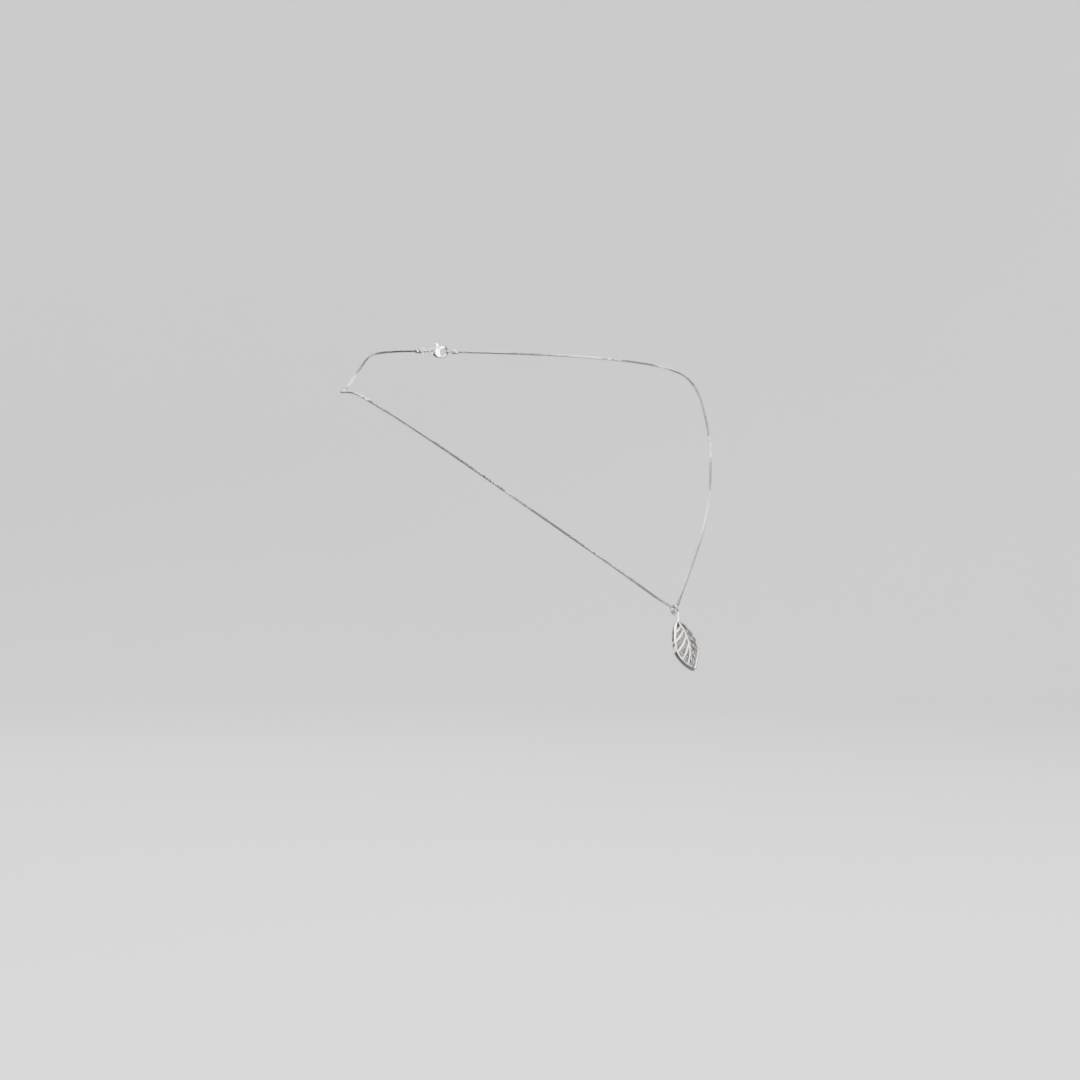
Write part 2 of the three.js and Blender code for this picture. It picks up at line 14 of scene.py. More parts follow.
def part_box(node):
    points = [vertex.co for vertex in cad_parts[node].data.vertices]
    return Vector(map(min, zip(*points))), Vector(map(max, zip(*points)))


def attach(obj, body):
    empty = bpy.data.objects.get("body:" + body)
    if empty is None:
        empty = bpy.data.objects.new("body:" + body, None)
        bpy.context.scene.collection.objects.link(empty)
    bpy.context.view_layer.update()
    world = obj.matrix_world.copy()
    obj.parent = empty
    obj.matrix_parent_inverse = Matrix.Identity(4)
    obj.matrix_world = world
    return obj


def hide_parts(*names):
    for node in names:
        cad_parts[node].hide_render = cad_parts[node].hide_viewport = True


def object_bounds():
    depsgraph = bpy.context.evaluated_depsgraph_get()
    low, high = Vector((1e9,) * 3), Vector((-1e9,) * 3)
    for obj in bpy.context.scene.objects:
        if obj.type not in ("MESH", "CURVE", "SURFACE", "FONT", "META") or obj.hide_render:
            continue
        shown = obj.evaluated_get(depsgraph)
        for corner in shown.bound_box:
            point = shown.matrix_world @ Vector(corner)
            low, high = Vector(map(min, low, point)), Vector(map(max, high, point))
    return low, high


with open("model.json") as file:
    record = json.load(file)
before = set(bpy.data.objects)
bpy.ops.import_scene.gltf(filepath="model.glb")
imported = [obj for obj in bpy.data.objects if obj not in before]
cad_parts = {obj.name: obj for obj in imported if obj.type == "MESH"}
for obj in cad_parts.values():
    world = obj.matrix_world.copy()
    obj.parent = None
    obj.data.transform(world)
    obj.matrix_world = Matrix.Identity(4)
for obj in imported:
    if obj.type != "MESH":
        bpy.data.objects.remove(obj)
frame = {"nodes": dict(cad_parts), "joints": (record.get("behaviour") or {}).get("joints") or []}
cad_low, cad_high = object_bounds()

# ---------------------------------------------------------------- camera
# It stands about a metre away off the wearer's right shoulder, level with the necklace, and
# looks very slightly down.

VIEW_TURN = math.radians(38)
VIEW_DROP = math.radians(1.88)

camera_data = bpy.data.cameras.new("camera")
camera_data.sensor_width = 36
camera_data.lens = 96.5
camera_data.clip_start = 0.01
camera_data.clip_end = 20
camera = bpy.data.objects.new("camera", camera_data)
camera.location = (-0.6329, -0.8727, -0.0347)
looking = Vector((
    math.sin(VIEW_TURN) * math.cos(VIEW_DROP),
    math.cos(VIEW_TURN) * math.cos(VIEW_DROP),
    -math.sin(VIEW_DROP),
))
camera.rotation_euler = looking.to_track_quat("-Z", "Y").to_euler()
bpy.context.scene.collection.objects.link(camera)
bpy.context.scene.camera = camera

# ---------------------------------------------------------------- box chain
# About 820 square links of flat silver strip, each bent to a square loop, soldered shut and
# turned a quarter against its neighbours. It hangs from the neck and runs through the bail. The
# two sides share the front part of the route, and the right side turns in tighter at the neck.

FRONT_ROUTE = [
    (0.0, -0.1361, -0.0893),
    (0.0009, -0.136, -0.08912),
    (0.00175, -0.1355, -0.08865),
    (0.0042, -0.1336, -0.08675),
    (0.0083, -0.1309, -0.0833),
    (0.0165, -0.1255, -0.0762),
    (0.028, -0.1175, -0.0665),
    (0.0405, -0.1069, -0.0551),
    (0.0523, -0.0946, -0.0434),
    (0.0634, -0.0812, -0.0319),
    (0.072, -0.0687, -0.0227),
]
LEFT_BACK = [
    (0.0776, -0.0595, -0.0166),
    (0.081, -0.0522, -0.0121),
    (0.0822, -0.0446, -0.0082),
    (0.0796, -0.036, -0.0053),
    (0.073, -0.0278, -0.0033),
    (0.058, -0.0172, -0.0015),
    (0.036, -0.007, -0.0004),
    (0.00932, 0.0, 0.0),
    (0.00792, 0.0, 0.0),
]
RIGHT_BACK = [
    (0.0776, -0.0595, -0.0171),
    (0.0784, -0.0545, -0.0167),
    (0.0749, -0.0482, -0.0165),
    (0.0652, -0.0383, -0.0136),
    (0.0505, -0.0232, -0.0079),
    (0.034, -0.0086, -0.0019),
    (0.00932, 0.0, 0.0),
    (0.00792, 0.0, 0.0),
]
LINK_LENGTH = 0.00098
LINK_ACROSS = 0.0009
LINK_STRIP = 0.00048
LINK_THICKNESS = 0.0002
LINK_CORNER = 0.00014
LINK_SHOULDER = 0.00006
LINK_PITCH = LINK_LENGTH - 2 * LINK_THICKNESS
LINK_TWIST = 0.012
LINK_PLAY = 0.3
LINK_SEED = 11


def smooth_line(points, steps):
    """A centripetal spline through the points, with that many steps from each to the next."""
    ends = [2 * points[0] - points[1], *points, 2 * points[-1] - points[-2]]
    line = []
    for a, b, c, d in zip(ends, ends[1:], ends[2:], ends[3:]):
        tb = math.sqrt((b - a).length)
        tc = tb + math.sqrt((c - b).length)
        td = tc + math.sqrt((d - c).length)
        for step in range(steps):
            t = tb + (tc - tb) * step / steps
            ab = a.lerp(b, t / tb)
            bc = b.lerp(c, (t - tb) / (tc - tb))
            cd = c.lerp(d, (t - tc) / (td - tc))
            first = ab.lerp(bc, t / tc)
            second = bc.lerp(cd, (t - tb) / (td - tb))
            line.append(first.lerp(second, (t - tb) / (tc - tb)))
    return [*line, points[-1]]


def new_object(name, data):
    made = bpy.data.objects.new(name, data)
    bpy.context.scene.collection.objects.link(made)
    return made


def mesh_of(name, vertices, faces, smooth=True):
    """A mesh with its doubles merged and its faces pointing out."""
    mesh = bpy.data.meshes.new(name)
    mesh.from_pydata([tuple(v) for v in vertices], [], faces)
    shape = bmesh.new()
    shape.from_mesh(mesh)
    size = max(max(v.co) for v in shape.verts) - min(min(v.co) for v in shape.verts)
    bmesh.ops.remove_doubles(shape, verts=shape.verts, dist=size * 1e-6)
    bmesh.ops.recalc_face_normals(shape, faces=shape.faces)
    for face in shape.faces:
        face.smooth = smooth
    shape.to_mesh(mesh)
    shape.free()
    return mesh


def swept(sections, closed):
    """Vertices and faces of a solid through a row of sections, each a loop of points."""
    count = len(sections[0])
    rows = len(sections)
    faces = []
    for row in range(rows if closed else rows - 1):
        after = (row + 1) % rows
        for side in range(count):
            turn = (side + 1) % count
            faces.append((row * count + side, row * count + turn, after * count + turn, after * count + side))
    if not closed:
        faces.append(tuple(range(count)))
        faces.append(tuple((rows - 1) * count + side for side in range(count)))
    return [point for section in sections for point in section], faces


def drawn_lines(name, lines, closed=False):
    """An object of straight-stepped curves through rows of points."""
    curve = bpy.data.curves.new(name, "CURVE")
    curve.dimensions = "3D"
    for row in lines:
        spline = curve.splines.new("POLY")
        spline.points.add(len(row) - 1)
        spline.use_cyclic_u = closed
        for point, place in zip(spline.points, row):
            point.co = (*place, 1)
    return new_object(name, curve)


def link_mesh():
    """One square loop of strip. Z is along the chain and the strip's width lies along Y."""
    half_z = (LINK_LENGTH - LINK_THICKNESS) / 2
    half_x = (LINK_ACROSS - LINK_THICKNESS) / 2
    loop = [
        (half_x, half_z - LINK_CORNER), (half_x - LINK_CORNER, half_z),
        (LINK_CORNER - half_x, half_z), (-half_x, half_z - LINK_CORNER),
        (-half_x, LINK_CORNER - half_z), (LINK_CORNER - half_x, -half_z),
        (half_x - LINK_CORNER, -half_z), (half_x, LINK_CORNER - half_z),
    ]
    half = LINK_THICKNESS / 2
    edge = LINK_STRIP / 2
    strip = [
        (-half, -edge), (half - LINK_SHOULDER, -edge), (half, LINK_SHOULDER - edge),
        (half, edge - LINK_SHOULDER), (half - LINK_SHOULDER, edge), (-half, edge),
    ]
    sections = []
    for i, (x, z) in enumerate(loop):
        before = Vector(loop[i - 1])
        after = Vector(loop[(i + 1) % len(loop)])
        along = (after - before).normalized()
        out = Vector((along.y, -along.x))
        sections.append([(x + out.x * o, y, z + out.y * o) for o, y in strip])
    return mesh_of("link", *swept(sections, closed=True), smooth=False)


def node_tree(name, sockets):
    """An empty Geometry Nodes tree with named inputs, given as (name, socket type)."""
    tree = bpy.data.node_groups.new(name, "GeometryNodeTree")
    tree.interface.new_socket("Geometry", in_out="INPUT", socket_type="NodeSocketGeometry")
    for socket_name, kind in sockets:
        tree.interface.new_socket(socket_name, in_out="INPUT", socket_type=kind)
    tree.interface.new_socket("Geometry", in_out="OUTPUT", socket_type="NodeSocketGeometry")
    tree.nodes.new("NodeGroupInput")
    tree.nodes.new("NodeGroupOutput")
    return tree


def grown(source, tree, values, name):
    """The plain mesh that the tree makes of the source object, whose named inputs are set first."""
    modifier = source.modifiers.new(tree.name, "NODES")
    modifier.node_group = tree
    for item in tree.interface.items_tree:
        if item.in_out == "INPUT" and item.name in values:
            modifier[item.identifier] = values[item.name]
    shown = source.evaluated_get(bpy.context.evaluated_depsgraph_get())
    mesh = bpy.data.meshes.new_from_object(shown)
    mesh.name = name
    source.modifiers.remove(modifier)
    return mesh


def links_along_route():
    """Puts a link at each pitch of a curve, every second one turned a quarter.

    Twist is the chain's own slow turn from link to link, and Play is how far each link may lean.
    """
    tree = node_tree("links_along_route", [
        ("Link", "NodeSocketObject"), ("Pitch", "NodeSocketFloat"),
        ("Lead", "NodeSocketFloat"), ("Run", "NodeSocketFloat"), ("Twist", "NodeSocketFloat"),
        ("Play", "NodeSocketFloat"), ("Seed", "NodeSocketInt"), ("Silver", "NodeSocketMaterial"),
    ])
    nodes, wire = tree.nodes, tree.links.new
    given = nodes["Group Input"].outputs
    trim = nodes.new("GeometryNodeTrimCurve")
    trim.mode = "LENGTH"
    resample = nodes.new("GeometryNodeResampleCurve")
    resample.mode = "LENGTH"
    points = nodes.new("GeometryNodeCurveToPoints")
    points.mode = "EVALUATED"
    index = nodes.new("GeometryNodeInputIndex")
    parity = nodes.new("ShaderNodeMath")
    parity.operation = "MODULO"
    parity.inputs[1].default_value = 2
    quarter = nodes.new("ShaderNodeMath")
    quarter.operation = "MULTIPLY_ADD"
    quarter.inputs[1].default_value = math.pi / 2
    slow = nodes.new("ShaderNodeMath")
    slow.operation = "MULTIPLY_ADD"
    lean = nodes.new("FunctionNodeRandomValue")
    lean.data_type = "FLOAT"
    turn = nodes.new("FunctionNodeAxisAngleToRotation")
    turn.inputs["Axis"].default_value = (0, 0, 1)
    turned = nodes.new("FunctionNodeRotateRotation")
    turned.rotation_space = "LOCAL"
    link = nodes.new("GeometryNodeObjectInfo")
    placed = nodes.new("GeometryNodeInstanceOnPoints")
    real = nodes.new("GeometryNodeRealizeInstances")
    finish = nodes.new("GeometryNodeSetMaterial")
    wire(given["Geometry"], trim.inputs["Curve"])
    trim_from, trim_to = [s for s in trim.inputs if s.type == "VALUE" and s.enabled]
    wire(given["Lead"], trim_from)
    wire(given["Run"], trim_to)
    wire(trim.outputs["Curve"], resample.inputs["Curve"])
    wire(given["Pitch"], resample.inputs["Length"])
    wire(resample.outputs["Curve"], points.inputs["Curve"])
    wire(index.outputs["Index"], parity.inputs[0])
    least, most = [s for s in lean.inputs if s.type == "VALUE" and s.enabled]
    least.default_value = 0
    wire(given["Play"], most)
    wire(given["Seed"], lean.inputs["Seed"])
    wire(index.outputs["Index"], slow.inputs[0])
    wire(given["Twist"], slow.inputs[1])
    wire(next(s for s in lean.outputs if s.type == "VALUE" and s.enabled), slow.inputs[2])
    wire(parity.outputs[0], quarter.inputs[0])
    wire(slow.outputs[0], quarter.inputs[2])
    wire(quarter.outputs[0], turn.inputs["Angle"])
    wire(points.outputs["Rotation"], turned.inputs["Rotation"])
    wire(turn.outputs["Rotation"], turned.inputs["Rotate By"])
    wire(given["Link"], link.inputs["Object"])
    wire(points.outputs["Points"], placed.inputs["Points"])
    wire(link.outputs["Geometry"], placed.inputs["Instance"])
    wire(turned.outputs["Rotation"], placed.inputs["Rotation"])
    wire(placed.outputs["Instances"], real.inputs["Geometry"])
    wire(real.outputs["Geometry"], finish.inputs["Geometry"])
    wire(given["Silver"], finish.inputs["Material"])
    wire(finish.outputs["Geometry"], nodes["Group Output"].inputs["Geometry"])
    return tree


def polish_marks():
    """Fine wear on polished metal: soft patches of tone, hairline marks and a little tarnish."""
    group = bpy.data.node_groups.new("polish_marks", "ShaderNodeTree")
    for name, kind in [("Vector", "NodeSocketVector"), ("Bright", "NodeSocketColor"),
                       ("Dull", "NodeSocketColor"), ("Smooth", "NodeSocketFloat"),
                       ("Worn", "NodeSocketFloat"), ("Marks per metre", "NodeSocketFloat")]:
        group.interface.new_socket(name, in_out="INPUT", socket_type=kind)
    for name, kind in [("Color", "NodeSocketColor"), ("Roughness", "NodeSocketFloat"),
                       ("Height", "NodeSocketFloat")]:
        group.interface.new_socket(name, in_out="OUTPUT", socket_type=kind)
    nodes, wire = group.nodes, group.links.new
    given = nodes.new("NodeGroupInput").outputs
    put = nodes.new("NodeGroupOutput").inputs
    patches = nodes.new("ShaderNodeTexNoise")
    patches.inputs["Scale"].default_value = 260
    patches.inputs["Detail"].default_value = 3
    stretch = nodes.new("ShaderNodeMapping")
    stretch.inputs["Rotation"].default_value = (0.4, 0.9, 0.6)
    stretch.inputs["Scale"].default_value = (1, 14, 1)
    hairlines = nodes.new("ShaderNodeTexNoise")
    hairlines.inputs["Detail"].default_value = 4
    hairlines.inputs["Roughness"].default_value = 0.65
    marks = nodes.new("ShaderNodeMapRange")
    marks.inputs["From Min"].default_value = 0.42
    marks.inputs["From Max"].default_value = 0.74
    wear = nodes.new("ShaderNodeMath")
    wear.operation = "MULTIPLY_ADD"
    wear.inputs[1].default_value = 0.55
    tone = nodes.new("ShaderNodeMix")
    tone.data_type = "RGBA"
    rough = nodes.new("ShaderNodeMix")
    wire(given["Vector"], patches.inputs["Vector"])
    wire(given["Vector"], stretch.inputs["Vector"])
    wire(stretch.outputs["Vector"], hairlines.inputs["Vector"])
    wire(given["Marks per metre"], hairlines.inputs["Scale"])
    wire(hairlines.outputs["Fac"], marks.inputs["Value"])
    wire(marks.outputs["Result"], wear.inputs[0])
    wire(patches.outputs["Fac"], wear.inputs[2])
    wire(patches.outputs["Fac"], tone.inputs["Factor"])
    wire(given["Bright"], tone.inputs["A"])
    wire(given["Dull"], tone.inputs["B"])
    wire(wear.outputs[0], rough.inputs["Factor"])
    wire(given["Smooth"], rough.inputs["A"])
    wire(given["Worn"], rough.inputs["B"])
    wire(tone.outputs["Result"], put["Color"])
    wire(rough.outputs["Result"], put["Roughness"])
    wire(marks.outputs["Result"], put["Height"])
    return group


POLISH = polish_marks()


def silver(name, bright, dull, smooth, worn, marks_per_metre, depth):
    """A silver finish, made of polish marks with their own tones, gloss and depth in metres."""
    material = bpy.data.materials.new(name)
    material.use_nodes = True
    nodes, wire = material.node_tree.nodes, material.node_tree.links.new
    shader = nodes["Principled BSDF"]
    shader.inputs["Metallic"].default_value = 1
    where = nodes.new("ShaderNodeTexCoord")
    marks = nodes.new("ShaderNodeGroup")
    marks.node_tree = POLISH
    marks.inputs["Bright"].default_value = (*bright, 1)
    marks.inputs["Dull"].default_value = (*dull, 1)
    marks.inputs["Smooth"].default_value = smooth
    marks.inputs["Worn"].default_value = worn
    marks.inputs["Marks per metre"].default_value = marks_per_metre
    bump = nodes.new("ShaderNodeBump")
    bump.inputs["Strength"].default_value = 0.5
    bump.inputs["Distance"].default_value = depth
    wire(where.outputs["Object"], marks.inputs["Vector"])
    wire(marks.outputs["Color"], shader.inputs["Base Color"])
    wire(marks.outputs["Roughness"], shader.inputs["Roughness"])
    wire(marks.outputs["Height"], bump.inputs["Height"])
    wire(bump.outputs["Normal"], shader.inputs["Normal"])
    return material


CHAIN_SILVER = silver("chain_silver", (0.84, 0.81, 0.795), (0.62, 0.59, 0.57), 0.1, 0.3, 900, 4e-6)

right_route = [Vector((-x, y, z)) for x, y, z in FRONT_ROUTE[1:] + RIGHT_BACK]
route = right_route[::-1] + [Vector(p) for p in FRONT_ROUTE + LEFT_BACK]
line = smooth_line(route, 8)
run = sum((b - a).length for a, b in zip(line, line[1:]))
route_object = drawn_lines("chain_route", [line])
link_object = new_object("link", link_mesh())
chain = new_object("chain_links", grown(route_object, links_along_route(), {
    "Link": link_object,
    "Pitch": LINK_PITCH,
    "Lead": LINK_LENGTH / 2,
    "Run": run - LINK_LENGTH / 2,
    "Twist": LINK_TWIST,
    "Play": LINK_PLAY,
    "Seed": LINK_SEED,
    "Silver": CHAIN_SILVER,
}, "chain_links"))
bpy.data.objects.remove(route_object)
bpy.data.objects.remove(link_object)
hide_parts("box_chain")
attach(chain, "chain")

# ---------------------------------------------------------------- cups on the chain ends
# A short turned silver cup closes each end of the chain. The last links are soldered into it,
# and a bead and a groove run round it.

BRIGHT_SILVER = silver("bright_silver", (0.93, 0.915, 0.9), (0.82, 0.8, 0.785), 0.06, 0.24, 1400, 3e-6)


def turned_along_x(name, profile, sides):
    """A solid turned round the X axis from a profile of (x, radius) that ends on the axis."""
    sections = []
    for turn in range(sides):
        angle = 2 * math.pi * turn / sides
        sections.append([(x, r * math.cos(angle), r * math.sin(angle)) for x, r in profile])
    count = len(profile)
    vertices = [point for section in sections for point in section]
    faces = []
    for turn in range(sides):
        after = (turn + 1) % sides
        for step in range(count - 1):
            faces.append((turn * count + step, turn * count + step + 1,
                          after * count + step + 1, after * count + step))
    return mesh_of(name, vertices, faces)


def finished(piece, node, body, material):
    """Gives a piece its material, hides the CAD node that it stands for and attaches it to its body."""
    piece.data.materials.clear()
    piece.data.materials.append(material)
    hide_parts(node)
    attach(piece, body)
    return piece


# Shares of the cup's length and radius, from its closed face to the mouth and back inside.
CUP_PROFILE = [
    (0, 0), (0, 0.72), (0.03, 0.86), (0.09, 0.95), (0.16, 1), (0.24, 1), (0.29, 0.93),
    (0.35, 0.93), (0.4, 1), (0.9, 1), (0.96, 0.97), (1, 0.88), (0.99, 0.78), (0.94, 0.7),
    (0.3, 0.7), (0.3, 0),
]
CUP_SIDES = 40

for side, name in ((1, "left"), (-1, "right")):
    node = "chain_cap_" + name
    low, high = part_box(node)
    face = low.x if side > 0 else -high.x
    long = high.x - low.x
    radius = (high.z - low.z) / 2
    profile = [(side * (face + x * long), r * radius) for x, r in CUP_PROFILE]
    cup = new_object("cup_" + name, turned_along_x("cup_" + name, profile, CUP_SIDES))
    finished(cup, node, "chain", BRIGHT_SILVER)

# ---------------------------------------------------------------- rings at the clasp
# Round silver wire. A closed ring is soldered to each cup, and a sawn jump ring, pinched shut,
# carries the clasp on the wearer's right.

RING_STEPS = 72
WIRE_SIDES = 16
SAWN_GAP = 0.03


def wire_ring(name, node, seam):
    """A ring of round wire where the CAD ring lies, with a sawn gap of that many radians."""
    low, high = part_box(node)
    centre = (low + high) / 2
    size = high - low
    upright = size.z > size.y
    wire_radius = min(size) / 2
    ring_radius = size.x / 2 - wire_radius
    across = Vector((0, 1, 0)) if upright else Vector((0, 0, 1))
    sections = []
    for step in range(RING_STEPS + (1 if seam else 0)):
        angle = seam / 2 + (2 * math.pi - seam) * step / RING_STEPS
        x, y = math.cos(angle), math.sin(angle)
        out = Vector((x, 0, y)) if upright else Vector((x, y, 0))
        section = []
        for side in range(WIRE_SIDES):
            turn = 2 * math.pi * side / WIRE_SIDES
            reach = ring_radius + wire_radius * math.cos(turn)
            section.append(centre + out * reach + across * (wire_radius * math.sin(turn)))
        sections.append(section)
    return new_object(name, mesh_of(name, *swept(sections, closed=not seam)))


finished(wire_ring("solder_ring_right", "end_ring_right", 0), "end_ring_right", "chain", BRIGHT_SILVER)
finished(wire_ring("solder_ring_left", "end_ring_left", 0), "end_ring_left", "chain", BRIGHT_SILVER)
finished(wire_ring("sawn_jump_ring", "jump_ring", SAWN_GAP), "jump_ring", "jump_ring", BRIGHT_SILVER)

# ---------------------------------------------------------------- lobster clasp
# A cast silver body with an eye and a hook, tumbled so that its edges are soft. The thumb lever
# turns on a riveted pin and a bent leaf spring closes it against the hook.

MM = 1000


def tumbled(name, node, voxel, passes):
    """A cast and tumbled copy of a CAD node, with its edges worn round. voxel is in millimetres."""
    work = new_object(name, frame["nodes"][node].data.copy())
    work.data.transform(Matrix.Scale(MM, 4))
    shape = bmesh.new()
    shape.from_mesh(work.data)
    bmesh.ops.remove_doubles(shape, verts=shape.verts, dist=1e-4)
    shape.to_mesh(work.data)
    shape.free()
    return softened(work, voxel, passes)


def softened(work, voxel, passes):
    """Joins what overlaps in a work object into one skin and rounds it. It is in millimetres."""
    skin = work.modifiers.new("skin", "REMESH")
    skin.mode = "VOXEL"
    skin.voxel_size = voxel
    skin.use_smooth_shade = True
    soft = work.modifiers.new("soft", "SMOOTH")
    soft.factor = 0.5
    soft.iterations = passes
    mesh = bpy.data.meshes.new_from_object(work.evaluated_get(bpy.context.evaluated_depsgraph_get()))
    name = work.name
    bpy.data.objects.remove(work)
    mesh.name = name
    return new_object(name, mesh)


def in_metres(piece):
    piece.data.transform(Matrix.Scale(1 / MM, 4))
    return piece


clasp_casting = in_metres(tumbled("clasp_casting", "clasp_body", 0.055, 14))
finished(clasp_casting, "clasp_body", "clasp", BRIGHT_SILVER)
clasp_lever = in_metres(tumbled("clasp_lever", "clasp_trigger", 0.04, 8))
finished(clasp_lever, "clasp_trigger", "trigger", BRIGHT_SILVER)

SPRING_STEEL = silver("spring_steel", (0.66, 0.66, 0.67), (0.5, 0.49, 0.48), 0.22, 0.42, 2200, 4e-6)
spring = frame["nodes"]["clasp_spring"]
spring.data.materials.clear()
spring.data.materials.append(SPRING_STEEL)

low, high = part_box("clasp_pin")
half_long = (high.y - low.y) / 2
rivet_radius = (high.x - low.x) / 2
HEAD_SHARES = [(-1, 0), (-1.05, 0.5), (-1.02, 0.9), (-0.96, 1)]
RIVET_SIDES = 28
rivet_profile = [(x * half_long, r * rivet_radius) for x, r in HEAD_SHARES]
rivet_profile += [(-x, r) for x, r in reversed(rivet_profile)]
rivet = new_object("clasp_rivet", turned_along_x("clasp_rivet", rivet_profile, RIVET_SIDES))
rivet.data.transform(Matrix.Translation((low + high) / 2) @ Matrix.Rotation(math.pi / 2, 4, "Z"))
finished(rivet, "clasp_pin", "clasp", BRIGHT_SILVER)

# ---------------------------------------------------------------- stem and bail
# One strip of silver. It rises from the leaf as its stem, rolls back over the chain as the bail,
# widens behind it and tapers to a point.

swing = next(joint for joint in frame["joints"] if joint["name"] == "pendant_swing")
HINGE = Vector(swing["pos_m"])
LEAF_TOP = Vector((0, -0.0018, -0.0042))
STEM_THICKNESS = 0.00045
STEM_WIDTH = 0.00064
BAIL_WIDTH = 0.0017
BAIL_RADIUS = 0.001225
BAIL_CENTRE = -0.0003
BAIL_STEPS = 8
STRIP_SIDES = 20
STRIP_SQUARENESS = (0.4, 0.42)
TONGUE = [
    (0.00006, 0.0005, 0.00195), (0.0003, 0.00105, 0.0021), (0.00078, 0.00165, 0.0016),
    (0.00125, 0.00208, 0.00085), (0.00152, 0.0023, 0.0002),
]


def stem_stations():
    """Places up the stem and round the bail, as (y, z, width) from the hinge."""
    front = LEAF_TOP.y + STEM_THICKNESS / 2
    stations = [
        (front - 0.0001, LEAF_TOP.z - 0.0003, STEM_WIDTH * 1.5),
        (front - 0.00005, LEAF_TOP.z + 0.0002, STEM_WIDTH * 1.15),
        (front, LEAF_TOP.z + 0.0009, STEM_WIDTH),
        (front + 0.00004, LEAF_TOP.z + 0.0021, STEM_WIDTH * 0.96),
        (front + 0.00016, LEAF_TOP.z + 0.003, STEM_WIDTH),
    ]
    start_width = STEM_WIDTH * 1.1
    for turn in range(BAIL_STEPS + 1):
        angle = math.pi * (1 - turn / BAIL_STEPS)
        width = start_width + (BAIL_WIDTH - start_width) * turn / BAIL_STEPS
        stations.append((BAIL_RADIUS * math.cos(angle), BAIL_CENTRE + BAIL_RADIUS * math.sin(angle), width))
    for forward, below, width in TONGUE:
        stations.append((BAIL_RADIUS - forward, BAIL_CENTRE - below, width))
    return [Vector(station) for station in stations]


def strip_sections(stations, thickness):
    """Rounded strip sections square to the line of the stations, thinner where they narrow."""
    sections = []
    for i, station in enumerate(stations):
        before = stations[max(i - 1, 0)]
        after = stations[min(i + 1, len(stations) - 1)]
        along = Vector((after.x - before.x, after.y - before.y)).normalized()
        out = Vector((-along.y, along.x))
        half_width = station.z / 2
        half_thick = thickness / 2 * min(1, 0.35 + station.z / STEM_WIDTH)
        section = []
        for side in range(STRIP_SIDES):
            angle = 2 * math.pi * side / STRIP_SIDES
            x, y = math.cos(angle), math.sin(angle)
            across = math.copysign(abs(x) ** STRIP_SQUARENESS[0], x) * half_width
            rise = math.copysign(abs(y) ** STRIP_SQUARENESS[1], y) * half_thick
            section.append((across, station.x + out.x * rise, station.y + out.y * rise))
        sections.append(section)
    return sections


stem_line = smooth_line(stem_stations(), 5)
stem = new_object("stem_and_bail", mesh_of("stem_and_bail", *swept(
    strip_sections(stem_line, STEM_THICKNESS), closed=False)))
stem.data.transform(Matrix.Translation(HINGE))
finished(stem, "stem_bail", "pendant", BRIGHT_SILVER)

# ---------------------------------------------------------------- leaf front
# One silver casting: the rim, the midrib and ten side veins, filed and polished bright on top.
# It is drawn flat in millimetres, across and then down from the stem, and bent into place.

LEAF_LENGTH = 18.3
LEAF_WIDTH = 10.8
LEAF_TILT = math.radians(29.3)
LENGTH_BOW = 0.45
CROSS_CROWN = 0.018
RIM_WIDTH = 0.6
RIM_HEIGHT = 0.45
VEIN_WIDTH = 0.44
MIDRIB_WIDTH = 0.55
VEIN_DROP = 0.06
FILED_OFF = 0.04
EDGE_ROUND = 0.3
LEAF_START = 0.065
LEFT_MARGIN = [
    (0.262, -0.704, 0.55), (0.443, -0.926, 0.2), (0.65, -1, 0.3),
    (0.798, -0.796, 0.2), (0.907, -0.519, 0.15), (1, 0, 0.25),
]
RIGHT_MARGIN = [
    (0.213, 0.694, 0.5), (0.361, 0.87, 0.2), (0.508, 0.917, 0.2),
    (0.667, 0.741, 0.2), (0.831, 0.389, 0.12), (1, 0, 0.1),
]
MIDRIB = [(0.0164, 0), (0.191, 0.139), (0.328, 0.194), (0.519, 0.139), (0.738, -0.028), (0.967, -0.019)]
LEFT_VEIN_STARTS = [0.115, 0.202, 0.322, 0.464, 0.623]
RIGHT_VEIN_STARTS = [0.093, 0.202, 0.322, 0.481, 0.667]
VEIN_TURN = (0.56, 0.42)
VEIN_SHORT_OF_RIM = 0.04
LOBE_STEPS = 14
VEIN_STEPS = 14

leaf_to_row = (
    Matrix.Translation(HINGE + LEAF_TOP)
    @ Matrix.Rotation(math.pi / 2 - LEAF_TILT, 4, "X")
    @ Matrix.Scale(1 / MM, 4)
)


def inside_loop(points, loop):
    """Whether each point lies inside a closed loop."""
    inside = np.zeros(len(points), bool)
    for a, b in zip(loop, loop[1:] + loop[:1]):
        crosses = (a.y > points[:, 1]) != (b.y > points[:, 1])
        height = b.y - a.y
        where = a.x + (points[:, 1] - a.y) * (b.x - a.x) / (height if abs(height) > 1e-9 else 1e-9)
        inside ^= crosses & (points[:, 0] < where)
    return inside


def leaf_place(down, across):
    """A flat place on the leaf from shares of its length and half width."""
    return Vector((across * LEAF_WIDTH / 2, -down * LEAF_LENGTH))


def bend_at(across, down):
    """How far the leaf stands forward there, from its bow along and its crown across."""
    return LENGTH_BOW * math.sin(math.pi * down / LEAF_LENGTH) - CROSS_CROWN * across * across


def seated(piece):
    """Bends a flat piece to the leaf's form and puts it in its place."""
    for vertex in piece.data.vertices:
        vertex.co.z += bend_at(vertex.co.x, -vertex.co.y)
    piece.data.transform(leaf_to_row)
    return piece


def arc_between(start, turn, end, steps):
    """A curve from start to end that bends towards turn, without its last point."""
    points = []
    for step in range(steps):
        t = step / steps
        points.append(start.lerp(turn, t).lerp(turn.lerp(end, t), t))
    return points


